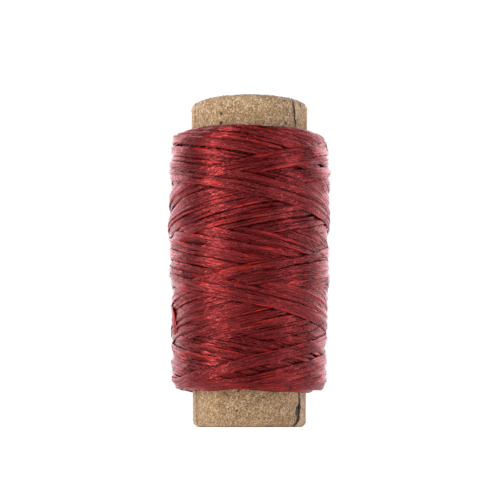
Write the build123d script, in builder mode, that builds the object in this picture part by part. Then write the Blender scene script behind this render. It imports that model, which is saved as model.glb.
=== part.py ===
from build123d import *
import os
from math import cos, degrees, radians, sin

# A spool of waxed thread: one long flat thread, cross-wound on a core of glued paper plies.
# It stands on one end of its core, with the origin at the middle of that end and +Z up the core.
# Angles round the spool are in degrees from its front (-Y), positive towards +X.

os.makedirs("parts", exist_ok=True)

# Driving dimensions, in millimetres
core_length = 53.5
core_outer_radius = 19.05 / 2      # a 3/4 inch paper core
ply_count = 4
ply_thickness = 0.4                # kraft board, glued face to face
bore_radius = core_outer_radius - ply_count * ply_thickness
rim_radius = 0.75                  # both ends are pressed and rubbed round on their outer edge
seam_gap = 0.12                    # between the two edges of one ply
flap_gap = 0.8                     # the outer seam's widest gap, where the paper has lifted near its foot
flap_middle, flap_top = 2.4, 4.4   # heights where that gap is widest, and where it ends

# Each ply's seam runs from an angle at the lower rim to one at the upper rim.
# The sheets were rolled a little out of square, and their seams are spread round the core.
inner_seam = (112, 106)
third_seam = (172, 176)
second_seam = (-72, -66)
outer_seam = (57, 48)

# The winding's outline, as radius and height, from its foot up to its head
foot = (core_outer_radius, 5.6)
lower_shoulder = (11.5, 6.6)
lower_round = (12.3, 7.35)
lower_corner = (12.7, 8.6)
waist = (12.9, 21.5)
belly = (13.3, 28.0)
upper_corner = (13.3, 45.4)
upper_round = (12.65, 47.1)
upper_shoulder = (11.5, 48.3)
head = (core_outer_radius, 48.9)

# The thread's outer end, lying up the winding where it comes out from under the last turns
thread_width = 1.75
thread_thickness = 0.31
tail_angle = -70
tail_foot, tail_tip = 14.8, 19.6   # heights, both on the straight stretch below the waist


def radial_plane(angle):
    """The upright plane through the spool's axis at an angle: x runs outwards and y runs up."""
    turn = radians(angle)
    return Plane(origin=(0, 0, 0), x_dir=(sin(turn), -cos(turn), 0), z_dir=(-cos(turn), -sin(turn), 0))


def level_plane(angle, radius, height):
    """A level plane on a cylinder's surface: x runs outwards and y runs round the cylinder."""
    turn = radians(angle)
    outwards = Vector(sin(turn), -cos(turn), 0)
    return Plane(origin=outwards * radius + Vector(0, 0, height), x_dir=outwards, z_dir=(0, 0, 1))


def seam_angle(seam, height):
    """The angle of a seam at a height."""
    return seam[0] + (seam[1] - seam[0]) * height / core_length


def seam_cutter(seam, radius, low, high, low_gap, high_gap):
    """A thin blade along a seam, through the ply whose middle is at that radius."""
    with BuildPart() as blade:
        for height, gap in ((low, low_gap), (high, high_gap)):
            with BuildSketch(level_plane(seam_angle(seam, height), radius, height)):
                Rectangle(2 * ply_thickness, gap)
        loft(ruled=True)
    return blade.part


# The seam blades, each a little longer than the core
past_rim = 1.0
below, above = -past_rim, core_length + past_rim
outer_middle = core_outer_radius - ply_thickness / 2
flap_foot_blade = seam_cutter(outer_seam, outer_middle, below, flap_middle, seam_gap, flap_gap)
flap_top_blade = seam_cutter(outer_seam, outer_middle, flap_middle, flap_top, flap_gap, seam_gap)

# The shape of the whole rolled wall, with its rounded rims, which each ply is a layer of
with BuildPart() as core_wall:
    with BuildSketch(Plane.XY):
        Circle(core_outer_radius)
        Circle(bore_radius, mode=Mode.SUBTRACT)
    extrude(amount=core_length)
    rims = core_wall.edges().filter_by(GeomType.CIRCLE).group_by(SortBy.RADIUS)[-1]
    fillet(rims, radius=rim_radius)

# The plies, from the bore outwards. The outer one's seam gapes where its foot has lifted.
plies = (
    ("core_inner_ply", inner_seam, ()),
    ("core_third_ply", third_seam, ()),
    ("core_second_ply", second_seam, ()),
    ("core_outer_ply", outer_seam, (flap_foot_blade, flap_top_blade)),
)
for layer, (name, seam, flap_blades) in enumerate(plies):
    inside = bore_radius + layer * ply_thickness
    blade = seam_cutter(seam, inside + ply_thickness / 2, below, above, seam_gap, seam_gap)
    with BuildPart() as ply:
        with BuildSketch(Plane.XY):
            Circle(inside + ply_thickness)
            Circle(inside, mode=Mode.SUBTRACT)
        extrude(amount=core_length)
        add(core_wall.part, mode=Mode.INTERSECT)
        for cutter in (blade, *flap_blades):
            add(cutter, mode=Mode.SUBTRACT)
    ply.part.label = name
    export_step(ply.part, f"parts/{name}.step")

# The winding: the outer shape of all the thread's turns, tight round the core
with BuildPart() as thread_winding:
    with BuildSketch(Plane.XZ):
        with BuildLine():
            Line(foot, lower_shoulder)
            ThreePointArc(lower_shoulder, lower_round, lower_corner)
            Polyline(lower_corner, waist, belly, upper_corner)
            ThreePointArc(upper_corner, upper_round, upper_shoulder)
            Polyline(upper_shoulder, head, foot)
        make_face()
    revolve(axis=Axis.Z)
thread_winding.part.label = "thread_winding"
export_step(thread_winding.part, "parts/thread_winding.step")


def lower_radius(height):
    """The winding's radius on its straight stretch below the waist."""
    share = (height - lower_corner[1]) / (waist[1] - lower_corner[1])
    return lower_corner[0] + (waist[0] - lower_corner[0]) * share


# The thread's outer end: a strip one thread wide, flat on the winding
foot_radius, tip_radius = lower_radius(tail_foot), lower_radius(tail_tip)
tail_arc = degrees(thread_width / foot_radius)
with BuildPart() as thread_tail:
    with BuildSketch(radial_plane(tail_angle - tail_arc / 2)):
        with BuildLine():
            Polyline(
                (foot_radius, tail_foot),
                (foot_radius + thread_thickness, tail_foot),
                (tip_radius + thread_thickness, tail_tip),
                (tip_radius, tail_tip),
                close=True,
            )
        make_face()
    revolve(axis=Axis.Z, revolution_arc=tail_arc)
thread_tail.part.label = "thread_tail"
export_step(thread_tail.part, "parts/thread_tail.step")
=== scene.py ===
import math

import bpy
import numpy as np
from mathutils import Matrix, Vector


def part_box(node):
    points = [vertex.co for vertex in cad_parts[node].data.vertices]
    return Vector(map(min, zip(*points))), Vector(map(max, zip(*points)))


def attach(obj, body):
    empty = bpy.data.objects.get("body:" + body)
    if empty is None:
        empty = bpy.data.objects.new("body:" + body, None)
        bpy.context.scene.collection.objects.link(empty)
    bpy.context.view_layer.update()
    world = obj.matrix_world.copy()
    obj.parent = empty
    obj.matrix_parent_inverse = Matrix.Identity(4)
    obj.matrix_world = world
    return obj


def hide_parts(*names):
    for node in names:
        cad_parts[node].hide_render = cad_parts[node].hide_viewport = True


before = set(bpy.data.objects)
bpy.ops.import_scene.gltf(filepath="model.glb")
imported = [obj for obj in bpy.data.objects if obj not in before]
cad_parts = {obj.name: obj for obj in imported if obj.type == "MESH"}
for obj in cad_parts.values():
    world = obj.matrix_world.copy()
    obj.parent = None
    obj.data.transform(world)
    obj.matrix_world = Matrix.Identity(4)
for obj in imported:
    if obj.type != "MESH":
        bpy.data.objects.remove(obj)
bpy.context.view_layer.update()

# The waxed thread spool, built round the CAD frame. Blender works in metres, and the winding is
# worked out in millimetres. Angles run round the spool from its front (-Y) towards +X.
MM = 0.001
TAU = math.tau

scene = bpy.context.scene
scene.view_settings.view_transform = "Standard"


# ------
# Sizes that the frame gives

core_box = [Vector(corner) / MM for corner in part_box("core_outer_ply")]
inner_box = [Vector(corner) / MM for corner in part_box("core_inner_ply")]
CORE_R = core_box[1].x
CORE_LENGTH = inner_box[1].z
PLY = 0.4                          # thickness of one ply of the core
BORE_R = inner_box[1].x - PLY
PRESSED, SPREAD = 0.32, 0.16       # the core is pressed in at its foot and spread at its head


def core_radius(z):
    """The core's outer radius at a height."""
    return CORE_R - PRESSED + (PRESSED + SPREAD) * z / CORE_LENGTH


# ------
# Camera, floor and light, all placed in metres

CAMERA_PLACE = (0.000115, -0.237, 0.0004)
CAMERA_TILT = 6.93                 # degrees up from level
SENSOR, LENS = 36, 103.57
SOFTBOX_HEIGHT, SOFTBOX_AWAY = 0.10, 0.42


def aim(obj, target):
    """Turns an object's -Z towards a point."""
    obj.rotation_mode = "QUATERNION"
    obj.rotation_quaternion = (Vector(target) - obj.location).to_track_quat("-Z", "Y")


def add_camera():
    """A long lens level with the spool's foot and tilted up to hold the whole spool."""
    data = bpy.data.cameras.new("camera")
    data.sensor_width, data.lens = SENSOR, LENS
    data.clip_start, data.clip_end = 0.005, 20
    camera = bpy.data.objects.new("camera", data)
    camera.location = CAMERA_PLACE
    camera.rotation_euler = (math.radians(90 + CAMERA_TILT), 0, 0)
    scene.collection.objects.link(camera)
    scene.camera = camera


def add_softbox(name, azimuth, width, tall, power, tint=(1, 1, 1)):
    """A rectangular light at an azimuth from the front, aimed at the middle of the spool."""
    data = bpy.data.lights.new(name, "AREA")
    data.shape, data.size, data.size_y = "RECTANGLE", width, tall
    data.energy, data.color = power, tint
    light = bpy.data.objects.new(name, data)
    turn = math.radians(azimuth)
    light.location = (SOFTBOX_AWAY * math.sin(turn), -SOFTBOX_AWAY * math.cos(turn), SOFTBOX_HEIGHT)
    aim(light, (0, 0, CORE_LENGTH / 2 * MM))
    scene.collection.objects.link(light)
    light.visible_camera = False


def add_world():
    """White behind the spool and grey on the camera's side, seen by the camera as plain white."""
    world = bpy.data.worlds.new("studio")
    scene.world = world
    world.use_nodes = True
    tree = world.node_tree
    tree.nodes.clear()
    coords = tree.nodes.new("ShaderNodeTexCoord")
    split = tree.nodes.new("ShaderNodeSeparateXYZ")
    ramp = tree.nodes.new("ShaderNodeMapRange")
    ramp.interpolation_type = "SMOOTHSTEP"
    for name, number in (("From Min", 0.20), ("From Max", 0.54), ("To Min", 0.04), ("To Max", 2.5)):
        ramp.inputs[name].default_value = number
    lit = tree.nodes.new("ShaderNodeBackground")
    seen = tree.nodes.new("ShaderNodeBackground")
    seen.inputs["Strength"].default_value = 1.05
    path = tree.nodes.new("ShaderNodeLightPath")
    mix = tree.nodes.new("ShaderNodeMixShader")
    out = tree.nodes.new("ShaderNodeOutputWorld")
    link = tree.links.new
    link(coords.outputs["Generated"], split.inputs[0])
    link(split.outputs["Y"], ramp.inputs["Value"])
    link(ramp.outputs["Result"], lit.inputs["Strength"])
    link(path.outputs["Is Camera Ray"], mix.inputs["Fac"])
    link(lit.outputs[0], mix.inputs[1])
    link(seen.outputs[0], mix.inputs[2])
    link(mix.outputs[0], out.inputs["Surface"])
    lit.inputs["Color"].default_value = (1, 0.96, 1.02, 1)
    seen.inputs["Color"].default_value = (1, 1, 1, 1)


def add_floor():
    """A wide pale floor that glows a little, as a lit white sweep does."""
    half = 3.0
    mesh = bpy.data.meshes.new("floor")
    corners = [(-half, -half, 0), (half, -half, 0), (half, half, 0), (-half, half, 0)]
    mesh.from_pydata(corners, [], [(0, 1, 2, 3)])
    floor = bpy.data.objects.new("floor", mesh)
    scene.collection.objects.link(floor)
    material = bpy.data.materials.new("pale_floor")
    material.use_nodes = True
    shader = material.node_tree.nodes["Principled BSDF"]
    shader.inputs["Base Color"].default_value = (0.82, 0.82, 0.82, 1)
    shader.inputs["Roughness"].default_value = 0.9
    shader.inputs["Specular IOR Level"].default_value = 0.1
    shader.inputs["Emission Color"].default_value = (1, 1, 1, 1)
    glow = material.node_tree.nodes.new("ShaderNodeMapRange")
    glow.inputs["To Min"].default_value = 0.28
    glow.inputs["To Max"].default_value = 0.75
    path = material.node_tree.nodes.new("ShaderNodeLightPath")
    material.node_tree.links.new(path.outputs["Is Camera Ray"], glow.inputs["Value"])
    material.node_tree.links.new(glow.outputs["Result"], shader.inputs["Emission Strength"])
    mesh.materials.append(material)


add_camera()
add_world()
add_floor()
add_softbox("softbox_left", azimuth=-52, width=0.16, tall=0.36, power=1.22)
add_softbox("softbox_right", azimuth=60, width=0.11, tall=0.36, power=0.60, tint=(0.94, 0.98, 1.06))


# ------
# Small helpers for meshes, noise and materials

def smooth_noise(random, count, spacing, scale):
    """Even noise of about unit size: count values that far apart, with features of that scale."""
    knots = random.normal(size=int(count * spacing / scale) + 6)
    place = np.arange(count) * spacing / scale + 2
    left = place.astype(int)
    share = place - left
    share = share * share * (3 - 2 * share)
    return knots[left] * (1 - share) + knots[left + 1] * share


def layered_noise(random, count, spacing, layers, start=0.0):
    """Noise in several layers, each with its size and scale, added to a starting value."""
    return sum((size * smooth_noise(random, count, spacing, scale) for size, scale in layers), start)


def make_mesh(name, points, quads, caps=()):
    """A smooth mesh from points in millimetres, an array of quads, and a few faces of any length."""
    sizes = np.array([4] * len(quads) + [len(cap) for cap in caps])
    corners = np.concatenate([quads.ravel(), *[np.array(cap) for cap in caps]])
    mesh = bpy.data.meshes.new(name)
    mesh.vertices.add(len(points))
    mesh.vertices.foreach_set("co", (np.asarray(points, np.float32) * MM).ravel())
    mesh.loops.add(len(corners))
    mesh.loops.foreach_set("vertex_index", corners.astype(np.int32))
    mesh.polygons.add(len(sizes))
    mesh.polygons.foreach_set("loop_start", (np.cumsum(sizes) - sizes).astype(np.int32))
    mesh.polygons.foreach_set("use_smooth", sizes == 4)
    mesh.update(calc_edges=True)
    return mesh


def tube_mesh(name, rings):
    """A closed mesh through rings of points: sides between the rings, and a flat cap on each end."""
    count, size = rings.shape[:2]
    i, j = np.meshgrid(np.arange(count - 1), np.arange(size), indexing="ij")
    a, b = i * size + j, i * size + (j + 1) % size
    quads = np.stack([a, b, b + size, a + size], axis=-1).reshape(-1, 4)
    first = np.arange(size)[::-1]
    last = (count - 1) * size + np.arange(size)
    return make_mesh(name, rings.reshape(-1, 3), quads, (first, last))


def set_attribute(mesh, name, values):
    """A float attribute on the mesh's points."""
    layer = mesh.attributes.new(name, "FLOAT", "POINT")
    layer.data.foreach_set("value", np.asarray(values, np.float32).ravel())


def add_piece(name, mesh, material, slot, *nodes):
    """Puts a piece on the one body, with its material, in place of CAD nodes."""
    piece = bpy.data.objects.new(name, mesh)
    scene.collection.objects.link(piece)
    mesh.materials.append(material)
    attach(piece, "root")
    if nodes:
        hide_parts(*nodes)
    return piece


class Nodes:
    """A material's node tree, with short ways to add and join nodes."""

    def __init__(self, name):
        self.material = bpy.data.materials.new(name)
        self.material.use_nodes = True
        self.tree = self.material.node_tree
        self.shader = self.tree.nodes["Principled BSDF"]

    def put(self, value, socket):
        """Links an output to a socket, or sets the socket to a value."""
        if isinstance(value, bpy.types.NodeSocket):
            self.tree.links.new(value, socket)
        else:
            socket.default_value = value

    def attribute(self, name):
        node = self.tree.nodes.new("ShaderNodeAttribute")
        node.attribute_name = name
        return node.outputs["Fac"]

    def math(self, kind, first, second=0.0, third=0.0):
        node = self.tree.nodes.new("ShaderNodeMath")
        node.operation = kind
        for value, socket in zip((first, second, third), node.inputs):
            self.put(value, socket)
        return node.outputs[0]

    def times(self, first, second):
        return self.math("MULTIPLY", first, second)

    def plus(self, first, second):
        return self.math("ADD", first, second)

    def vector(self, x, y, z):
        node = self.tree.nodes.new("ShaderNodeCombineXYZ")
        for value, socket in zip((x, y, z), node.inputs):
            self.put(value, socket)
        return node.outputs[0]

    def noise(self, vector, scale, detail=2.0, roughness=0.5):
        node = self.tree.nodes.new("ShaderNodeTexNoise")
        node.inputs["Scale"].default_value = scale
        node.inputs["Detail"].default_value = detail
        node.inputs["Roughness"].default_value = roughness
        self.put(vector, node.inputs["Vector"])
        return node.outputs["Fac"]

    def ramp(self, value, low, high, to_low=0.0, to_high=1.0):
        node = self.tree.nodes.new("ShaderNodeMapRange")
        node.interpolation_type = "SMOOTHSTEP"
        self.put(value, node.inputs["Value"])
        limits = {"From Min": low, "From Max": high, "To Min": to_low, "To Max": to_high}
        for name, number in limits.items():
            self.put(number, node.inputs[name])
        return node.outputs["Result"]

    def mix(self, share, first, second):
        node = self.tree.nodes.new("ShaderNodeMix")
        node.data_type = "RGBA"
        self.put(share, node.inputs[0])
        self.put(first, node.inputs[6])
        self.put(second, node.inputs[7])
        return node.outputs[2]

    def bump(self, height, distance, strength):
        node = self.tree.nodes.new("ShaderNodeBump")
        node.inputs["Distance"].default_value = distance
        node.inputs["Strength"].default_value = strength
        self.put(height, node.inputs["Height"])
        return node.outputs["Normal"]


# ------
# The thread's material: lengthwise fibres in dark wine wax, with redder streaks

SUNK = 0.04, 0.20                  # depths below the neighbouring turns at which a gap darkens, in mm
PROUD = -0.02, -0.16               # and heights above them at which a rim brightens
THREAD_BUMP = 0.00016              # in metres


def thread_material():
    """Waxed thread: fibres along it, redder patches, dull bloom, painted highlights on raised parts and
    rims, and painted shade in the gaps.
    """
    n = Nodes("waxed_thread")
    across = n.attribute("across_mm")
    along = n.attribute("along_mm")
    edge = n.attribute("edge")
    tone = n.attribute("tone")
    relief = n.attribute("relief")
    sunk = n.attribute("sunk_mm")
    gap = n.ramp(sunk, *SUNK)
    proud = n.ramp(sunk, *PROUD)

    def streaks(fine, length, detail=2.0):
        """Noise stretched along the thread: features that wide and that long, in millimetres."""
        place = n.vector(n.times(across, 1 / fine), n.times(along, 1 / length), tone)
        return n.noise(place, 1.0, detail, 0.6)

    fibres = streaks(0.24, 3.2, 3.0)
    strands = streaks(0.55, 8.0)
    patches = streaks(1.1, 5.0)
    bloom = streaks(0.20, 1.3)
    deep = (0.010, 0.0005, 0.0010, 1)
    wine = (0.048, 0.0014, 0.0022, 1)
    red = (0.290, 0.0070, 0.0062, 1)
    bright = (0.850, 0.042, 0.022, 1)
    wax = (0.170, 0.020, 0.020, 1)
    # strands of two depths of wine, with redder fibres, and redder patches at random, with a painted
    # highlight where the thread is raised
    colour = n.mix(n.ramp(strands, 0.34, 0.62, 0.3, 1.0), deep, wine)
    colour = n.mix(n.times(n.ramp(fibres, 0.46, 0.70), 0.46), colour, red)
    lifted = n.plus(patches, n.times(relief, 0.10))
    lifted = n.plus(lifted, n.times(tone, 0.08))
    colour = n.mix(n.times(n.ramp(lifted, 0.52, 0.76), 0.62), colour, red)
    # rims catch the light, the more so where they stand above their neighbours
    proud_rims = n.times(proud, n.ramp(edge, 0.5, 0.9))
    rims = n.plus(lifted, n.times(n.ramp(edge, 0.7, 0.95), 0.20))
    rims = n.plus(rims, n.times(proud_rims, 0.12))
    rims = n.times(n.ramp(rims, 0.60, 0.80), n.ramp(fibres, 0.36, 0.60))
    colour = n.mix(n.times(rims, 0.58), colour, bright)
    # a dull bloom of wax, and bare places between
    colour = n.mix(n.times(n.ramp(bloom, 0.50, 0.68), 0.50), colour, wax)
    colour = n.mix(n.times(n.ramp(bloom, 0.46, 0.28), 0.45), colour, deep)
    # gaps between the turns hold little light
    colour = n.mix(n.times(gap, 0.58), colour, deep)
    # small flecks of white wax, partly painted glints
    speck_place = n.vector(n.times(across, 5.0), n.times(along, 5.0), tone)
    specks = n.ramp(n.noise(speck_place, 1.0, 0.0), 0.78, 0.88)
    colour = n.mix(n.times(specks, 0.7), colour, (0.70, 0.40, 0.38, 1))
    shader = n.shader
    n.put(colour, shader.inputs["Base Color"])
    rough = n.plus(n.ramp(fibres, 0.3, 0.75, 0.06, -0.03), n.ramp(bloom, 0.35, 0.65, 0.15, 0.31))
    n.put(rough, shader.inputs["Roughness"])
    shader.inputs["IOR"].default_value = 2.3
    gloss = n.math("MULTIPLY_ADD", gap, -0.3, n.ramp(bloom, 0.40, 0.62, 0.78, 0.38))
    n.put(gloss, shader.inputs["Specular IOR Level"])
    shader.inputs["Specular Tint"].default_value = (1.0, 0.13, 0.135, 1)
    height = n.plus(fibres, strands)
    height = n.plus(height, n.times(bloom, 0.75))
    n.put(n.bump(height, THREAD_BUMP, 1.0), shader.inputs["Normal"])
    return n.material


# ------
# The winding: the thread is laid turn by turn on a field of heights round the core

RUNS = 102                         # runs from end to end, which take 18.3 m of thread, an assumed 20 yards
THREAD_WIDTH = 1.75                # wide enough for the turns to leave no gaps between them
THREAD_THICK = 0.31                # chosen so that this much thread fills the winding
TURNS = 2.4557                     # turns in one run, so that each run lies beside the last but one
TURN_ROUND = 0.10                  # turns that it takes to turn back at an end
RUN_POINTS = 236                   # points in one run
TURN_POINTS = RUN_POINTS / TURNS
LANES = 21                         # places across the thread
LOW_FIRST, LOW_LAST, LOW_SPREAD = 6.25, 6.45, 0.8
HIGH_FIRST, HIGH_LAST, HIGH_SPREAD = 47.8, 47.5, 1.3
FINAL_LOW, FINAL_HIGH = 6.9, 47.5  # where the last two runs end
FULL_R = 13.25
TAUT, BEND, PRESS = 0.3, 1.4, 0.6  # bridging of hollows, bending across, sinking into the bed
RIDGE, CURL = 0.038, 0.11          # heights of the lengthwise ridges and of the edges' curl
START_TURN = 0.341                 # where round the core the thread starts, in turns
WANDER = ((0.20, 0.9), (0.07, 0.3))      # millimetres that a run strays, and the turns that takes
WIDTH_NOISE = ((0.11, 0.35), (0.05, 0.1))
WIDTH_LIMITS = 0.5, 1.35
THINNING = 0.6                     # how much thinner the thread gets where it is wider, as a power
PINCHES = 75                       # short pinched or half-folded places
PINCH_DEPTH, PINCH_POINTS = (0.2, 0.45), (3, 7)
SOFT_ALONG, SOFT_ACROSS = 3.0, 1.3 # points and lanes over which a bed's bumps print through
DEEPEST = 0.35                     # share of its thickness that a turn may sink into the bed
MIDDLE_LOW, MIDDLE_HIGH = 12, 43   # heights between which the winding's mean radius is taken
SQUEEZE_SCALE = 0.7                # the tension evens out bumps that are wider than this
SQUEEZE_LEFT = 0.45                # and leaves this share of them
HOLD = 4                           # a run's last points wait, so that the next run isn't lifted by them
JOIN = 7.0                         # points over which a run takes up the height of the last one
SKIN = 0.06                        # the strips' mean surface lies this far inside the outline

SECTION_EDGE, SECTION_POWER = 0.50, 4.0   # edge thickness as a share of the middle, and how flat it is

TAIL_R, TAIL_STEP = 13.0, 0.85     # radius that the tail's route is drawn at, and its points' spacing
# the tail's route, as degrees from the front and height, to where it dives under the last turns
TAIL_ROUTE = (
    (-35, 8.0), (0, 10.1), (60, 13.2), (120, 15.8), (180, 17.6), (240, 18.9), (266, 19.3), (279, 19.1),
    (286.5, 18.0), (288.5, 16.4), (289, 15.0), (289.5, 13.0),
)
TAIL_DIVE = 3.0, 0.65              # length of thread that dives, and how deep

SHOULDERS = 7.6, 46.6              # heights between which the turns lie flat enough to tell gaps by
GAP_SCALE = 3.0                    # field points over which the neighbouring turns' height is taken

VISIBLE_RUNS = 34                  # the last runs, which are the ones that show
SEEN_RUNS, HIDDEN_STRETCHES = 4, 4 # runs in one stretch that shows, and stretches that don't
FRAY = 0.035                       # how far fibres stand out of the thread's edges
FIBRES = 320                       # loose fibres
FIBRE_R = 0.032

FIELD_TURN = 720                   # the field's places round the core
FIELD_STEP = 0.1
FIELD_LOW, FIELD_HIGH = 4.0, 51.0
FIELD_UP = int(round((FIELD_HIGH - FIELD_LOW) / FIELD_STEP)) + 1
FINER = 7                          # steps between two of a strip's points, so that it leaves no holes


def read_field(field, angle, z):
    """The field's height at angles and heights, between its points."""
    a = np.mod(angle / TAU, 1) * FIELD_TURN
    b = np.clip((z - FIELD_LOW) / FIELD_STEP, 0, FIELD_UP - 1.001)
    i, j = a.astype(int) % FIELD_TURN, b.astype(int)
    fa, fb, k = a - np.floor(a), b - j, (i + 1) % FIELD_TURN
    low = field[i, j] * (1 - fa) + field[k, j] * fa
    high = field[i, j + 1] * (1 - fa) + field[k, j + 1] * fa
    return low * (1 - fb) + high * fb


def raise_field(field, angle, z, top):
    """Raises the field to the top of a strip, filled in between the strip's points."""
    along = np.linspace(0, len(angle) - 1, (len(angle) - 1) * FINER + 1)
    i = np.minimum(along.astype(int), len(angle) - 2)
    f = (along - i)[:, None]
    across = np.linspace(0, LANES - 1, 2 * LANES - 1)
    j = np.minimum(across.astype(int), LANES - 2)
    g = (across - j)[None, :]

    def finer(values):
        rows = values[i] * (1 - f) + values[i + 1] * f
        return rows[:, j] * (1 - g) + rows[:, j + 1] * g

    angle, z, top = finer(angle), finer(z), finer(top)
    a = np.floor(np.mod(angle / TAU, 1) * FIELD_TURN).astype(int)
    b = np.clip(((z - FIELD_LOW) / FIELD_STEP).astype(int), 0, FIELD_UP - 2)
    flat = field.ravel()
    for da in (0, 1):
        for db in (0, 1):
            np.maximum.at(flat, (((a + da) % FIELD_TURN) * FIELD_UP + b + db).ravel(), top.ravel())


def taut_line(x, y):
    """The least concave line over points: a tight thread over bumps, seen from the axis."""
    keep = []
    xs, ys = x.tolist(), y.tolist()
    for i in range(len(xs)):
        while len(keep) > 1:
            a, b = keep[-2], keep[-1]
            if (ys[b] - ys[a]) * (xs[i] - xs[b]) > (ys[i] - ys[b]) * (xs[b] - xs[a]):
                break
            keep.pop()
        keep.append(i)
    return np.interp(x, x[keep], y[keep])


def blur(values, width, axis, mode="edge"):
    """Softens an array along one axis."""
    reach = int(3 * width) + 1
    weights = np.exp(-0.5 * (np.arange(-reach, reach + 1) / width) ** 2)
    pad = [(0, 0), (0, 0)]
    pad[axis] = (reach, reach)
    padded = np.pad(values, pad, mode=mode)
    total = np.zeros_like(values)
    for k, weight in enumerate(weights / weights.sum()):
        total += weight * np.take(padded, np.arange(k, k + values.shape[axis]), axis=axis)
    return total


def run_share(share):
    """How far along its run the thread is: straight, with a parabola at each end."""
    turn = TURN_ROUND / TURNS
    near = np.minimum(share, 1 - share)
    half = np.where(near < turn, near * near / (2 * turn), near - turn / 2) / (1 - turn)
    return np.where(share < 0.5, half, 1 - half)


def route_points(name, controls, resolution):
    """The points of the smooth NURBS line that has those control points, in millimetres."""
    curve = bpy.data.curves.new(name, "CURVE")
    curve.dimensions = "3D"
    curve.resolution_u = resolution
    spline = curve.splines.new("NURBS")
    spline.points.add(len(controls) - 1)
    four = np.concatenate([controls * MM, np.ones((len(controls), 1))], axis=1)
    spline.points.foreach_set("co", four.astype(np.float32).ravel())
    spline.order_u = 3
    spline.use_endpoint_u = True
    holder = bpy.data.objects.new(name, curve)
    mesh = bpy.data.meshes.new_from_object(holder)
    points = np.empty(len(mesh.vertices) * 3)
    mesh.vertices.foreach_get("co", points)
    bpy.data.objects.remove(holder)
    bpy.data.meshes.remove(mesh)
    bpy.data.curves.remove(curve)
    return points.reshape(-1, 3) / MM


def running_length(points):
    """How far along a line each of its points is."""
    return np.concatenate([[0], np.cumsum(np.linalg.norm(np.diff(points, axis=0), axis=1))])


def tail_path(start_angle, start_z):
    """The thread's last turn, up from the foot and back down where its end is tucked in."""
    turns = math.floor(start_angle / TAU + 0.5) * TAU
    corners = [(start_angle * TAIL_R, start_z, 0)]
    corners += [((turns + math.radians(a)) * TAIL_R, z, 0) for a, z in TAIL_ROUTE]
    points = route_points("tail_route", np.array(corners), 12)
    along = running_length(points)
    even = np.linspace(0, along[-1], int(along[-1] / TAIL_STEP) + 1)
    return np.interp(even, along, points[:, 0]) / TAIL_R, np.interp(even, along, points[:, 1])


def lay(field, angle, z, width, thick, section, mean_r, last_under):
    """Lays one run on the field's heights, and returns its under side, its lanes and its top."""
    u = np.linspace(-1, 1, LANES)
    r = read_field(field, angle, z)
    slope = np.gradient(z) / (np.gradient(angle) * r)
    cos = 1 / np.sqrt(1 + slope ** 2)
    across = u[None, :] * width[:, None] / 2
    lane_angle = angle[:, None] - (slope * cos / r)[:, None] * across
    lane_z = z[:, None] + cos[:, None] * across
    bed = read_field(field, lane_angle, lane_z)
    swing = (angle - angle[0]) ** 2 * mean_r / 2
    tight = np.stack([taut_line(angle, bed[:, j] - swing) + swing for j in range(LANES)], axis=1)
    apart = (across[:, :, None] - across[:, None, :]) ** 2
    under = ((bed + (tight - bed) * TAUT)[:, None, :] - BEND * apart).max(axis=2)
    soft = blur(blur(under, SOFT_ALONG, 0), SOFT_ACROSS, 1)
    under = np.maximum(under * (1 - PRESS) + soft * PRESS, bed - DEEPEST * thick[:, None])
    if last_under is not None:
        fade = np.exp(-np.arange(len(angle)) / JOIN)
        under += (last_under - under[0])[None, :] * fade[:, None]
    top = under + thick[:, None] * section[None, :]
    return under, across, lane_angle, lane_z, top


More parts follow.
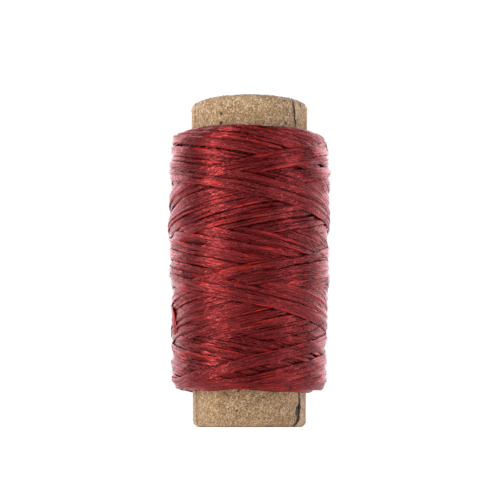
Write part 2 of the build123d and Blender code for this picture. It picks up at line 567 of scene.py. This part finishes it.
def wind():
    """Lays the whole thread, and returns its points, its lanes and the final field."""
    random = np.random.default_rng(7)
    field = np.tile(core_radius(FIELD_LOW + FIELD_STEP * np.arange(FIELD_UP)), (FIELD_TURN, 1))
    count = (RUNS + 1) * RUN_POINTS
    step = 1 / TURN_POINTS
    wander = layered_noise(random, count, step, WANDER)
    width = layered_noise(random, count, step, WIDTH_NOISE, 1)
    place = np.arange(count)
    for middle in random.integers(0, count, PINCHES):
        depth, reach = random.uniform(*PINCH_DEPTH), random.uniform(*PINCH_POINTS)
        width *= 1 - depth * np.exp(-0.5 * ((place - middle) / reach) ** 2)
    width = np.clip(width, *WIDTH_LIMITS) * THREAD_WIDTH
    thick = THREAD_THICK * (THREAD_WIDTH / width) ** THINNING
    crown = 1 - np.abs(np.linspace(-1, 1, LANES)) ** SECTION_POWER
    section = SECTION_EDGE + (1 - SECTION_EDGE) * crown
    band = slice(*(int((z - FIELD_LOW) / FIELD_STEP) for z in (MIDDLE_LOW, MIDDLE_HIGH)))
    held, runs = None, []
    end, under, mean_r = None, None, CORE_R
    for k in range(RUNS + 1):
        first = k * RUN_POINTS
        if k == RUNS:
            angle, z = tail_path(angle[-1], z[-1])
        else:
            grown = np.clip((mean_r - CORE_R) / (FULL_R - CORE_R), 0, 1) ** 1.5
            low = LOW_FIRST + (LOW_LAST - LOW_FIRST) * grown + LOW_SPREAD * random.random()
            high = HIGH_FIRST + (HIGH_LAST - HIGH_FIRST) * grown - HIGH_SPREAD * random.random()
            if k > RUNS - 3:
                low, high = FINAL_LOW, FINAL_HIGH
            begin = low if k == 0 else end
            end = high if k % 2 == 0 else low
            index = first + np.arange(RUN_POINTS + 1)
            share = run_share(np.arange(RUN_POINTS + 1) / RUN_POINTS)
            room = np.clip(8 * np.minimum(share, 1 - share), 0.15, 1)
            angle = TAU * (index * step + START_TURN)
            z = begin + (end - begin) * share + wander[index] * room
        part = slice(first, first + len(angle))
        last_under = None if under is None else under[-1]
        under, across, lane_angle, lane_z, top = lay(
            field, angle, z, width[part], thick[part], section, mean_r, last_under
        )
        if held is not None:
            raise_field(field, *held)
        raise_field(field, lane_angle[:-HOLD], lane_z[:-HOLD], top[:-HOLD])
        held = lane_angle[-HOLD - 1:], lane_z[-HOLD - 1:], top[-HOLD - 1:]
        runs.append((angle, z, under, across, thick[part], lane_angle, lane_z))
        mean_r = field[:, band].mean()
    raise_field(field, *held)
    # each run starts on the last one's final point, so that point is kept once
    joined = [np.concatenate([*(run[:-1] for run in column[:-1]), column[-1]]) for column in zip(*runs)]
    return joined, section, field


def winding_outline():
    """The radius of the CAD winding at each height of the field."""
    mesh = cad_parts["thread_winding"].data
    corners = sorted((v.co.z / MM, math.hypot(v.co.x, v.co.y) / MM) for v in mesh.vertices)
    corners = [c for c in corners if c[1] > CORE_R + 0.01]
    heights = FIELD_LOW + FIELD_STEP * np.arange(FIELD_UP)
    return np.interp(heights, [c[0] for c in corners], [c[1] for c in corners])


def squeeze(field):
    """How much the winding is squeezed towards the core at each place, as a share of its depth."""
    width = SQUEEZE_SCALE / FIELD_STEP
    soft = blur(blur(field, width, 0, "wrap"), width, 1)
    bumps = soft - soft.mean(axis=0, keepdims=True)
    wanted = winding_outline()[None, :] - SKIN + SQUEEZE_LEFT * bumps
    share = (wanted - CORE_R) / np.maximum(soft - CORE_R, 0.2)
    share = np.clip(share, 0.75, 1.25)
    return blur(blur(share, width / 2, 0, "wrap"), width / 2, 1)


(angle, height, under, across, thick, lane_angle, lane_height), section, field = wind()
squeezed = squeeze(field)
around = blur(blur(field, GAP_SCALE, 0, "wrap"), GAP_SCALE, 1)
sunk = read_field(around, lane_angle, lane_height) - under - thick[:, None] * section
sunk *= np.clip(lane_height - SHOULDERS[0], 0, 1) * np.clip(SHOULDERS[1] - lane_height, 0, 1)
share = read_field(squeezed, lane_angle, lane_height)
under = CORE_R + (under - CORE_R) * share
thick = thick * share[:, LANES // 2]
middle = under[:, LANES // 2] + thick / 2
dive = np.clip(1 - (len(angle) - 1 - np.arange(len(angle))) * TAIL_STEP / TAIL_DIVE[0], 0, 1)
middle -= TAIL_DIVE[1] * dive


def strand_relief(random, count, step):
    """Lengthwise ridges of about unit height, with a few deeper grooves between strands."""
    ridges = np.stack([smooth_noise(random, count, step, 7.0) for _ in range(LANES)], axis=1)
    ridges = 1.6 * blur(ridges, 0.8, 1)
    lane = np.arange(LANES)[None, :]
    for _ in range(3):
        place = (LANES - 1) * (0.5 + 0.28 * smooth_noise(random, count, step, 30.0))[:, None]
        depth = np.clip(smooth_noise(random, count, step, 12.0), 0, 1.5)[:, None]
        ridges -= 2.4 * depth * np.exp(-0.5 * ((lane - place) / 0.8) ** 2)
    return ridges


def thread_stretch(name, first, last, resolution, tops, bottoms, before, random):
    """One stretch of the thread, as a flat strip that follows its route."""
    part = slice(first, last + 1)
    controls = np.stack(
        [middle[part] * np.sin(angle[part]), -middle[part] * np.cos(angle[part]), height[part]], axis=1
    )
    points = route_points(name, controls, resolution)
    along = running_length(points)
    control_along = running_length(controls)
    # which of the winding's points each of the line's points is nearest to, as a fraction
    at = np.interp(along / along[-1], control_along / control_along[-1], np.arange(len(controls)))
    left = np.minimum(at.astype(int), len(controls) - 2)
    share = (at - left)[:, None]

    def here(values):
        rows = values[part].reshape(len(controls), -1)
        return rows[left] * (1 - share) + rows[left + 1] * share

    bed, lanes, thickness = here(under), here(across), here(thick)
    bed = bed - bed[:, LANES // 2: LANES // 2 + 1]
    # where the strip hangs over a shoulder, its lanes draw in, because it doesn't stretch
    rise = np.diff(bed, axis=1) / np.diff(lanes, axis=1)
    width = np.diff(lanes, axis=1) / np.sqrt(1 + rise ** 2)
    drawn = np.concatenate([np.zeros((len(points), 1)), np.cumsum(width, axis=1)], axis=1)
    drawn -= drawn[:, LANES // 2: LANES // 2 + 1]
    bed = np.stack([np.interp(d, l, b) for d, l, b in zip(drawn, lanes, bed)])
    step = along[-1] / (len(points) - 1)
    spread = np.linspace(-1, 1, LANES)[None, :]
    for side_sign in (-1, 1):
        curl = CURL * np.clip(smooth_noise(random, len(points), step, 3.0), 0, 2)
        bed = bed + curl[:, None] * np.clip((side_sign * spread - 0.35) / 0.65, 0, 1) ** 2
    tangent = np.gradient(points, axis=0)
    tangent /= np.linalg.norm(tangent, axis=1, keepdims=True)
    outward = points * (1, 1, 0)
    outward /= np.linalg.norm(outward, axis=1, keepdims=True)
    side = np.cross(outward, tangent)
    side /= np.linalg.norm(side, axis=1, keepdims=True)
    side *= np.sign(side[:, 2:3])
    outward = np.cross(tangent, side)
    outward *= np.sign((outward * points * (1, 1, 0)).sum(axis=1, keepdims=True))
    ridges = strand_relief(random, len(points), step)
    frays = np.stack([smooth_noise(random, len(points), step, 1.6) for _ in range(2)], axis=1) * FRAY

    def ring(columns, lift):
        """Points along some lanes, at a lift above the strip's bed."""
        reach = drawn[:, columns].copy()
        reach[:, columns == 0] -= np.abs(frays[:, :1])
        reach[:, columns == LANES - 1] += np.abs(frays[:, 1:])
        rise = bed[:, columns] + lift - thickness / 2
        sideways, upwards = side[:, None, :] * reach[:, :, None], outward[:, None, :] * rise[:, :, None]
        return points[:, None, :] + sideways + upwards

    shape = thickness * section[tops]
    top = ring(tops, shape + ridges[:, tops] * RIDGE * (0.3 + 0.7 * section[tops]))
    bottom = ring(bottoms, 0.0)
    rings = np.concatenate([top, bottom[:, ::-1]], axis=1)
    count, size = rings.shape[:2]
    mesh = tube_mesh(name, rings)
    lane = np.concatenate([tops, bottoms[::-1]]) / (LANES - 1)
    everywhere, plain = np.ones((count, size)), np.zeros((count, len(bottoms)))
    set_attribute(mesh, "across_mm", (lane - 0.5)[None, :] * everywhere * THREAD_WIDTH)
    set_attribute(mesh, "along_mm", (before + along)[:, None] * everywhere)
    set_attribute(mesh, "sunk_mm", np.concatenate([here(sunk)[:, tops], plain], axis=1))
    set_attribute(mesh, "relief", np.concatenate([ridges[:, tops], plain], axis=1))
    set_attribute(mesh, "edge", np.abs(lane * 2 - 1)[None, :] * everywhere)
    tone = layered_noise(random, count, step, ((0.35, 30.0), (0.2, 6.0)))
    set_attribute(mesh, "tone", tone[:, None] * everywhere)
    return mesh, points, along[-1]


def add_thread():
    """The whole thread, as stretches that follow one another from the core outwards."""
    material = thread_material()
    random = np.random.default_rng(11)
    # points between two of the winding's, and the lanes that make the strip's two faces
    fine = 2, np.arange(LANES), np.arange(0, LANES, 2)
    rough = 1, np.arange(0, LANES, 4), np.array([0, LANES // 2, LANES - 1])
    hidden = RUNS - VISIBLE_RUNS
    cuts = [k * hidden // HIDDEN_STRETCHES for k in range(HIDDEN_STRETCHES + 1)]
    cuts += [hidden + k for k in range(SEEN_RUNS, VISIBLE_RUNS - 2, SEEN_RUNS)] + [RUNS]
    ends = [run * RUN_POINTS for run in cuts]
    ends[-1] = len(angle) - 1
    before = 0.0
    for k, (first, last) in enumerate(zip(ends, ends[1:])):
        final = k == len(cuts) - 2
        resolution, tops, bottoms = fine if cuts[k] >= hidden else rough
        name = f"thread_stretch_{k + 1:02d}"
        mesh, points, length = thread_stretch(name, first, last, resolution, tops, bottoms, before, random)
        nodes = ["thread_winding", "thread_tail"] if final else ["thread_winding"]
        piece = add_piece(name, mesh, material, "waxed_thread", *nodes)
        before += length


def hair_mesh(name, lines, radius):
    """Thin hairs in one mesh: each follows a line of points and tapers to both ends."""
    sides = 5
    around = np.arange(sides) * TAU / sides
    points, quads, caps = [], [], []
    for line in lines:
        tangent = np.gradient(line, axis=0)
        tangent /= np.linalg.norm(tangent, axis=1, keepdims=True)
        side = np.cross(tangent, line * (1, 1, 0))
        side /= np.linalg.norm(side, axis=1, keepdims=True)
        up = np.cross(side, tangent)
        taper = radius * (0.25 + 0.75 * np.sin(np.linspace(0.1, 0.9, len(line)) * math.pi))[:, None, None]
        turn = side[:, None, :] * np.cos(around)[:, None] + up[:, None, :] * np.sin(around)[:, None]
        start = sum(len(part) for part in points)
        i, j = np.meshgrid(np.arange(len(line) - 1), np.arange(sides), indexing="ij")
        a, b = start + i * sides + j, start + i * sides + (j + 1) % sides
        quads.append(np.stack([a, b, b + sides, a + sides], axis=-1).reshape(-1, 4))
        caps.append(start + np.arange(sides)[::-1])
        caps.append(start + (len(line) - 1) * sides + np.arange(sides))
        points.append((line[:, None, :] + taper * turn).reshape(-1, 3))
    return make_mesh(name, np.concatenate(points), np.concatenate(quads), caps)


def winding_surface(at_angle, z):
    """The winding's outer radius at angles and heights."""
    near = [(turn, rise) for turn in (-0.01, 0, 0.01) for rise in (-0.1, 0, 0.1)]
    tops = [read_field(field, at_angle + turn, z + rise) for turn, rise in near]
    return CORE_R + (np.max(tops, axis=0) - CORE_R) * read_field(squeezed, at_angle, z)


def add_loose_fibres():
    """Fine fibres that have come loose from the thread, lying over its turns with their ends up."""
    random = np.random.default_rng(5)
    lines = []
    for _ in range(FIBRES):
        long = random.uniform(1.5, 7.0)
        count = int(long / 0.35) + 6
        share = np.linspace(0, 1, count)
        slope = random.choice((-1, 1)) * random.uniform(0.12, 0.45) + 0.4 * (share - 0.5) * random.normal()
        along = long * share
        at_angle = random.uniform(0, TAU) + along * np.cos(slope) / FULL_R
        z = random.uniform(7.0, 47.5) + np.cumsum(np.sin(slope)) * long / count
        raised = random.uniform(0.02, 0.30) * np.abs(2 * share - 1) ** 4
        r = winding_surface(at_angle, z)
        r = np.maximum(r, np.interp(share, [0, 0.5, 1], [r[0], r[count // 2], r[-1]]) - 0.05) + 0.02 + raised
        lines.append(np.stack([r * np.sin(at_angle), -r * np.cos(at_angle), z], axis=1))
    mesh = hair_mesh("loose_fibres", lines, FIBRE_R)
    size = len(mesh.vertices)
    for name, value in (("across_mm", 0.5), ("edge", 1.0), ("relief", 1.0), ("sunk_mm", 0.0)):
        set_attribute(mesh, name, np.full(size, value))
    set_attribute(mesh, "along_mm", np.linspace(0, 900, size))
    set_attribute(mesh, "tone", smooth_noise(random, size, 1.0, 60.0))
    add_piece("loose_fibres", mesh, bpy.data.materials["waxed_thread"], "waxed_thread")


add_thread()
add_loose_fibres()


# ------
# The core: four plies of kraft, each a sheet rolled round to meet itself at a seam

SEAMS = {                          # angle of each ply's seam at the lower rim and at the upper rim
    "core_inner_ply": (112, 106),
    "core_third_ply": (172, 176),
    "core_second_ply": (-72, -66),
    "core_outer_ply": (57, 48),
}
GLUE = 0.02                        # what the glue takes of a ply's thickness
SEAM_GAP = 0.12
# the outer seam's angle at some heights: its torn edge wanders at both ends
OUTER_SEAM = (
    (0, 52), (0.5, 53.5), (1.1, 57), (1.7, 58.5), (2.0, 56), (2.9, 58), (3.8, 60.5), (5.6, 60), (12, 56),
    (47, 51.9), (48.4, 51.2), (49, 50.3), (49.7, 50.4), (50.3, 49.2), (51, 49.3), (51.6, 48.2), (52.3, 47.9),
    (53.5, 47),
)
# and how wide it gapes
OUTER_GAP = (
    (0, 0.15), (0.5, 0.45), (1.5, 0.5), (1.8, 0.25), (2.1, 0.7), (3.5, 0.8), (3.9, 0.3), (4.4, 0.06),
    (6, 0.05), (48, 0.26), (49.4, 0.46), (50.2, 0.24), (51.4, 0.50), (52.2, 0.26), (52.7, 0.06),
    (53.5, 0.04),
)
CREASES = ((-67, 0.18, 0.24), (75.5, 0.24, 0.34))   # angle, depth and width of dents in the paper
# angle, height and size of the clearest dark marks
MARKS = ((-28, 50.4, 0.15), (-28.4, 48.9, 0.17), (37.8, 49.1, 0.13), (60, 52.7, 0.15), (-12, 2.6, 0.10))
FLUFF, FLUFF_R = 150, 0.022        # paper fibres that stand out, and their radius
FIBRES_PER_MM2, SPECKS_PER_MM2 = 9, 1 / 25
PAPER_BUMP = 0.00003               # in metres
SHOWN = 7.0                        # length of each end that stands out of the winding
RAGGED = ((0.04, 4), (0.05, 9), (0.05, 30))         # how far the rims are frayed, in millimetres
SEAM_SHADE, SEAM_SHADE_WIDTH = 0.95, 0.07      # painted shade on the upper seam's torn edges, in its deep gap: how dark, and how wide
SEAM_SHADE_FROM, SEAM_SHADE_TO = 47, 52.8      # between these heights
FOOT_SHADE, FOOT_HEIGHT = 0.6, 0.12 # and painted shadow at the core's foot, where it stands on the floor
RIM_POINTS = 5                     # places across a ply's end face
# heights of a ply's points on its rounded end
NEAR_ROWS = np.array([0, 0.02, 0.06, 0.12, 0.2, 0.3, 0.42, 0.55, 0.7, 0.85, 1.0, 1.2])


def rim_inset(from_foot, from_head, angle):
    """How far the wall's outer face is pressed in near its two ends, most at the foot's left side."""
    left = -np.sin(angle)
    inset = 0.0
    for away, tall, deep in (
        (from_foot, 1.0 + 0.2 * left, 0.82 + 0.08 * left),
        (from_head, 0.65 + 0.05 * left, 0.55 + 0.05 * left),
    ):
        share = np.clip(1 - away / tall, 0, 1)
        inset = inset + deep * (1 - (1 - share ** 1.5) ** (1 / 1.5))
    return inset


def fibre_field(random, columns, rows, step):
    """Short fibres lying at every angle on a sheet, light ones above zero and dark ones below."""
    count = int(columns * rows * step * step * FIBRES_PER_MM2)
    place = random.random((count, 2)) * (columns, rows)
    turn, bend = random.random(count) * TAU, random.normal(size=count) * 0.4
    length = random.uniform(0.3, 1.0, count) / step
    shade = np.where(random.random(count) < 0.45, -1.0, 1.0) * random.uniform(0.4, 1.0, count)
    field = np.zeros((columns, rows))
    steps = int(1.3 / step) + 4
    for k in range(steps):
        place = place + np.stack([np.cos(turn), np.sin(turn)], axis=1) * (length / steps)[:, None]
        turn = turn + bend / steps
        low = np.floor(place).astype(int)
        share = place - low
        for da in (0, 1):
            for db in (0, 1):
                weight = np.abs(1 - da - share[:, 0]) * np.abs(1 - db - share[:, 1])
                column, row = (low[:, 0] + da) % columns, np.clip(low[:, 1] + db, 0, rows - 1)
                np.add.at(field, (column, row), 1.5 * shade * weight * length / steps)
    return np.clip(field, -1.6, 1.6)


def speck_field(random, columns, rows, step):
    """Small dark specks of bark in the paper."""
    field = np.zeros((columns, rows))
    reach = int(0.35 / step) + 1
    for _ in range(int(columns * rows * step * step * SPECKS_PER_MM2)):
        column, row = random.integers(columns), random.integers(reach, rows - reach)
        size = random.uniform(0.07, 0.15) / step
        a, b = np.meshgrid(np.arange(-reach, reach + 1), np.arange(-reach, reach + 1), indexing="ij")
        blob = np.exp(-0.5 * (a ** 2 + b ** 2) / size ** 2) * random.uniform(0.6, 2.0)
        np.add.at(field, ((column + a) % columns, row + b), blob)
    return np.clip(field, 0, 1)


def paper_material(name, dark, light):
    """Rough kraft: blotches, fibres of every shade, a few specks and dark marks, painted shade in creases,
    hollows, the seam and the foot, and paler fluff on worn edges.
    """
    n = Nodes(name)
    coords = n.tree.nodes.new("ShaderNodeTexCoord").outputs["Object"]
    fibre, specks_and_shade, wear = n.attribute("fibre"), n.attribute("specks_and_shade"), n.attribute("wear")
    blotch = n.noise(coords, 450.0, 3.0)
    grain = n.noise(coords, 4600.0, 3.0, 0.6)
    colour = n.mix(n.ramp(blotch, 0.3, 0.7), dark, light)
    value = n.plus(n.times(fibre, 0.55), n.math("MULTIPLY_ADD", grain, 5.8, -2.9))
    colour = n.mix(n.ramp(value, 0.05, 1.1, 0.0, 0.80), colour, (1.0, 0.82, 0.58, 1))
    colour = n.mix(n.ramp(value, -0.05, -1.1, 0.0, 0.85), colour, (0.130, 0.083, 0.052, 1))
    # bark specks and dark marks, together with painted shade in creases, hollows, the seam and at the foot
    colour = n.mix(n.times(specks_and_shade, 0.95), colour, (0.022, 0.014, 0.010, 1))
    worn = n.times(wear, n.ramp(grain, 0.4, 0.6, 0.15, 0.65))
    colour = n.mix(worn, colour, (0.80, 0.63, 0.48, 1))
    shader = n.shader
    n.put(colour, shader.inputs["Base Color"])
    n.put(n.ramp(grain, 0.3, 0.7, 0.95, 0.78), shader.inputs["Roughness"])
    shader.inputs["Specular IOR Level"].default_value = 0.25
    shader.inputs["Sheen Weight"].default_value = 0.15
    shader.inputs["Sheen Roughness"].default_value = 0.6
    n.put(n.bump(value, PAPER_BUMP, 0.9), shader.inputs["Normal"])
    return n.material


def add_ply(name, material, slot, columns, row_step, shape=None):
    """One ply: a rolled sheet with fibrous faces, rough ends and its seam."""
    random = np.random.default_rng(len(name) * 7 + columns)
    radius = (Vector(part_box(name)[1]) / MM).x
    inside = radius - PLY + GLUE
    shown = np.concatenate([NEAR_ROWS, np.arange(NEAR_ROWS[-1] + row_step, SHOWN, row_step)])
    hidden = np.linspace(SHOWN, CORE_LENGTH - SHOWN, 24)
    face = np.concatenate([shown, hidden, CORE_LENGTH - shown[::-1]])
    few = [3, CORE_LENGTH / 2, CORE_LENGTH - 3]
    back = np.concatenate([NEAR_ROWS, few, CORE_LENGTH - NEAR_ROWS[::-1]])
    if name == "core_inner_ply":
        face, back = back, face                      # the bore shows its inner face
    across = np.linspace(0, 1, RIM_POINTS + 2)[1:-1]
    depth = np.concatenate([np.ones(len(face)), 1 - across, np.zeros(len(back)), across])
    level = np.concatenate([face, np.full(RIM_POINTS, CORE_LENGTH), back[::-1], np.zeros(RIM_POINTS)])
    turn = np.linspace(0, 1, columns + 1)[:, None]
    first, last = SEAMS[name]
    seam = np.radians(first + (last - first) * level / CORE_LENGTH)[None, :]
    from_end = np.minimum(level, CORE_LENGTH - level)[None, :]
    rows = int(CORE_LENGTH / row_step) + 1
    fibres = fibre_field(random, columns + 1, rows, row_step)
    specks = speck_field(random, columns + 1, rows, row_step)
    row = np.clip((level / row_step).astype(int), 0, rows - 1)
    fibre, specks_and_shade = fibres[:, row], specks[:, row]
    on_rim = ((depth > 0) & (depth < 1))[None, :]
    rim_noise = np.stack([smooth_noise(random, columns + 1, 1, 6) for _ in range(len(level))], axis=1)
    fibre = np.where(on_rim, 0.7 * rim_noise, fibre)
    gap, lift, dent = np.full(level.shape, SEAM_GAP)[None, :], 0.0, 0.0
    wear = np.exp(-from_end / 0.35) * np.where(level < CORE_LENGTH / 2, 0.4, 1)[None, :]
    if shape is not None:
        seam, gap, lift, dent, wear = shape(random, turn, level[None, :], depth[None, :], wear, seam)
    angle = seam + gap / 2 / radius + (TAU - gap / radius) * turn
    r = inside + (radius - inside) * depth[None, :]
    outer = depth[None, :] > 0.5
    skin = 0.016 * fibre - 0.03 * specks_and_shade - dent
    r = r + np.where(outer, skin, -skin) * (depth[None, :] % 1 == 0)
    inset = rim_inset(level[None, :], CORE_LENGTH - level[None, :], angle)
    wall = core_radius(level)[None, :] - inset - BORE_R
    r = BORE_R + (r - BORE_R) * wall / (CORE_R - BORE_R) + lift
    ragged = layered_noise(random, columns + 1, 1, RAGGED)
    rough = 0.03 * rim_noise * on_rim + ragged[:, None] * np.exp(-from_end / 0.25)
    z = level[None, :] + np.where(level[None, :] > CORE_LENGTH / 2, -1, 1) * np.abs(rough)
    rings = np.stack([r * np.sin(angle), -r * np.cos(angle), z], axis=-1)
    mesh = tube_mesh(name.replace("core", "paper"), rings)
    set_attribute(mesh, "fibre", fibre)
    # painted shade in the creases' dents and in the second ply's hollow
    shade = np.clip(5 * dent - 0.25, 0, 1) * np.ones_like(fibre)
    if name == "core_outer_ply":
        # the inner face, which shows under the flap, is in the dark
        shade = shade + (depth[None, :] < 0.5)
        # painted shadow along the foot, where the core stands on the floor
        shade = shade + FOOT_SHADE * np.exp(-level / FOOT_HEIGHT)[None, :]
        # painted shade on the torn edges in the upper seam's gap
        by_seam = np.minimum(turn, 1 - turn) * TAU * CORE_R
        upper = np.clip((level - SEAM_SHADE_FROM) * (SEAM_SHADE_TO - level), 0, 1)[None, :]
        shade = shade + SEAM_SHADE * np.exp(-(by_seam / SEAM_SHADE_WIDTH) ** 2) * upper
        for mark, up, size in MARKS:
            off = np.angle(np.exp(1j * (angle - math.radians(mark)))) * CORE_R
            shade = shade + 2.0 * np.exp(-(off ** 2 + (level[None, :] - up) ** 2) / (2 * size * size))
    # bark specks, the dark marks and the painted shade darken the paper, and the paper isn't pale where they
    # lie
    dark = np.clip(np.maximum(specks_and_shade * ~on_rim, shade), 0, 1)
    set_attribute(mesh, "specks_and_shade", dark)
    set_attribute(mesh, "wear", wear * (1 - dark))
    add_piece(mesh.name, mesh, material, slot, name)


def outer_shape(random, turn, level, depth, wear, seam):
    """The outer ply's own marks: the gaping seam, the thin lifted flap and the creases."""
    columns = len(turn)
    heights, angles = zip(*OUTER_SEAM)
    seam = np.radians(np.interp(level, heights, angles))
    heights, widths = zip(*OUTER_GAP)
    torn = smooth_noise(random, 400, 0.15, 0.35)
    gap = np.interp(level, heights, widths) * (1 + 0.35 * np.interp(level, np.arange(0, 60, 0.15), torn))
    beyond = turn * TAU * CORE_R                     # distance round from the seam, on its right side
    before = (1 - turn) * TAU * CORE_R
    foot = np.clip(1 - level / 5.5, 0, 1)
    lift = 0.24 * foot * np.exp(-(beyond / 1.5) ** 2) + 0.06 * np.exp(-(beyond / 0.6) ** 2)
    lift = lift - 0.10 * depth * np.exp(-(before / 0.3) ** 2)
    hollow = np.exp(-((level - 2.2) / 2.0) ** 4) + 0.4 * np.exp(-((level - 50.8) / 2.0) ** 4)
    lift = lift + 0.27 * (1 - depth) * np.exp(-(beyond / 1.0) ** 4) * hollow
    angle = seam + TAU * turn
    dent = 0
    for crease, deep, width in CREASES:
        off = np.angle(np.exp(1j * (angle - math.radians(crease)))) * CORE_R
        dent = dent + deep * np.exp(-(off / width) ** 2) - deep * 0.5 * np.exp(-((off + 0.5) / 0.35) ** 2)
    dent = dent + 0.02 * smooth_noise(random, columns, 1, 60)[:, None]
    edge = np.exp(-beyond / 0.35) + np.exp(-before / 0.2)
    flap = 0.9 * foot ** 0.5 * np.exp(-(beyond / 2.0) ** 2)
    return seam, gap, lift, dent, np.clip(wear + edge * (0.3 + 0.7 * foot) + flap, 0, 1)


def second_shape(random, turn, level, depth, wear, seam):
    """The second ply's hollow behind the outer ply's gaping seam, which add_ply darkens with painted shade.
    """
    heights, angles = zip(*OUTER_SEAM)
    behind = np.radians(np.interp(level, heights, angles))
    off = np.angle(np.exp(1j * (seam + TAU * turn - behind))) * CORE_R
    hollow = 0.30 * np.exp(-((off - 0.4) / 0.9) ** 4)
    hollow = hollow * (np.exp(-((level - 2.2) / 2.2) ** 4) + 0.9 * np.exp(-((level - 50.6) / 2.6) ** 4))
    return seam, SEAM_GAP, 0.0, hollow, wear


def add_paper_fluff():
    """Pale paper fibres that stand out of the core's rims and its torn seam."""
    random = np.random.default_rng(23)
    lines = []
    for k in range(FLUFF):
        share = np.linspace(0, 1, 7)
        if k % 3 == 0:                               # along the lifted flap's torn edge
            z = random.uniform(0.2, 4.2)
            at = math.radians(np.interp(z, *zip(*OUTER_SEAM))) + random.uniform(-0.02, 0.06)
        else:                                        # round the rims
            z = random.choice((0.25, CORE_LENGTH - 0.2)) + random.uniform(-0.1, 0.1)
            at = random.uniform(0, TAU)
        heading = random.uniform(0, TAU) + random.normal() * share
        long = random.uniform(0.4, 1.4)
        at_angle = at + np.cumsum(np.cos(heading)) * long / 7 / CORE_R
        z = np.clip(z + np.cumsum(np.sin(heading)) * long / 7, 0.03, CORE_LENGTH - 0.03)
        r = core_radius(z) - rim_inset(z, CORE_LENGTH - z, at_angle) + 0.01
        r = r + random.uniform(0.05, 0.35) * share ** 2
        lines.append(np.stack([r * np.sin(at_angle), -r * np.cos(at_angle), z], axis=1))
    mesh = hair_mesh("paper_fluff", lines, FLUFF_R)
    for name, value in (("fibre", 1.5), ("specks_and_shade", 0.0), ("wear", 1.0)):
        set_attribute(mesh, name, np.full(len(mesh.vertices), value))
    add_piece("paper_fluff", mesh, bpy.data.materials["kraft_paper"], "kraft_paper")


def add_core():
    """The four plies, from the bore outwards."""
    board = paper_material("kraft_board", (0.42, 0.256, 0.122, 1), (0.53, 0.332, 0.162, 1))
    paper = paper_material("kraft_paper", (0.49, 0.290, 0.132, 1), (0.61, 0.370, 0.170, 1))
    add_ply("core_inner_ply", board, "kraft_board", 320, 0.16)
    add_ply("core_third_ply", board, "kraft_board", 360, 1.0)
    add_ply("core_second_ply", board, "kraft_board", 400, 0.3, second_shape)
    add_ply("core_outer_ply", paper, "kraft_paper", 620, 0.1, outer_shape)


add_core()
add_paper_fluff()
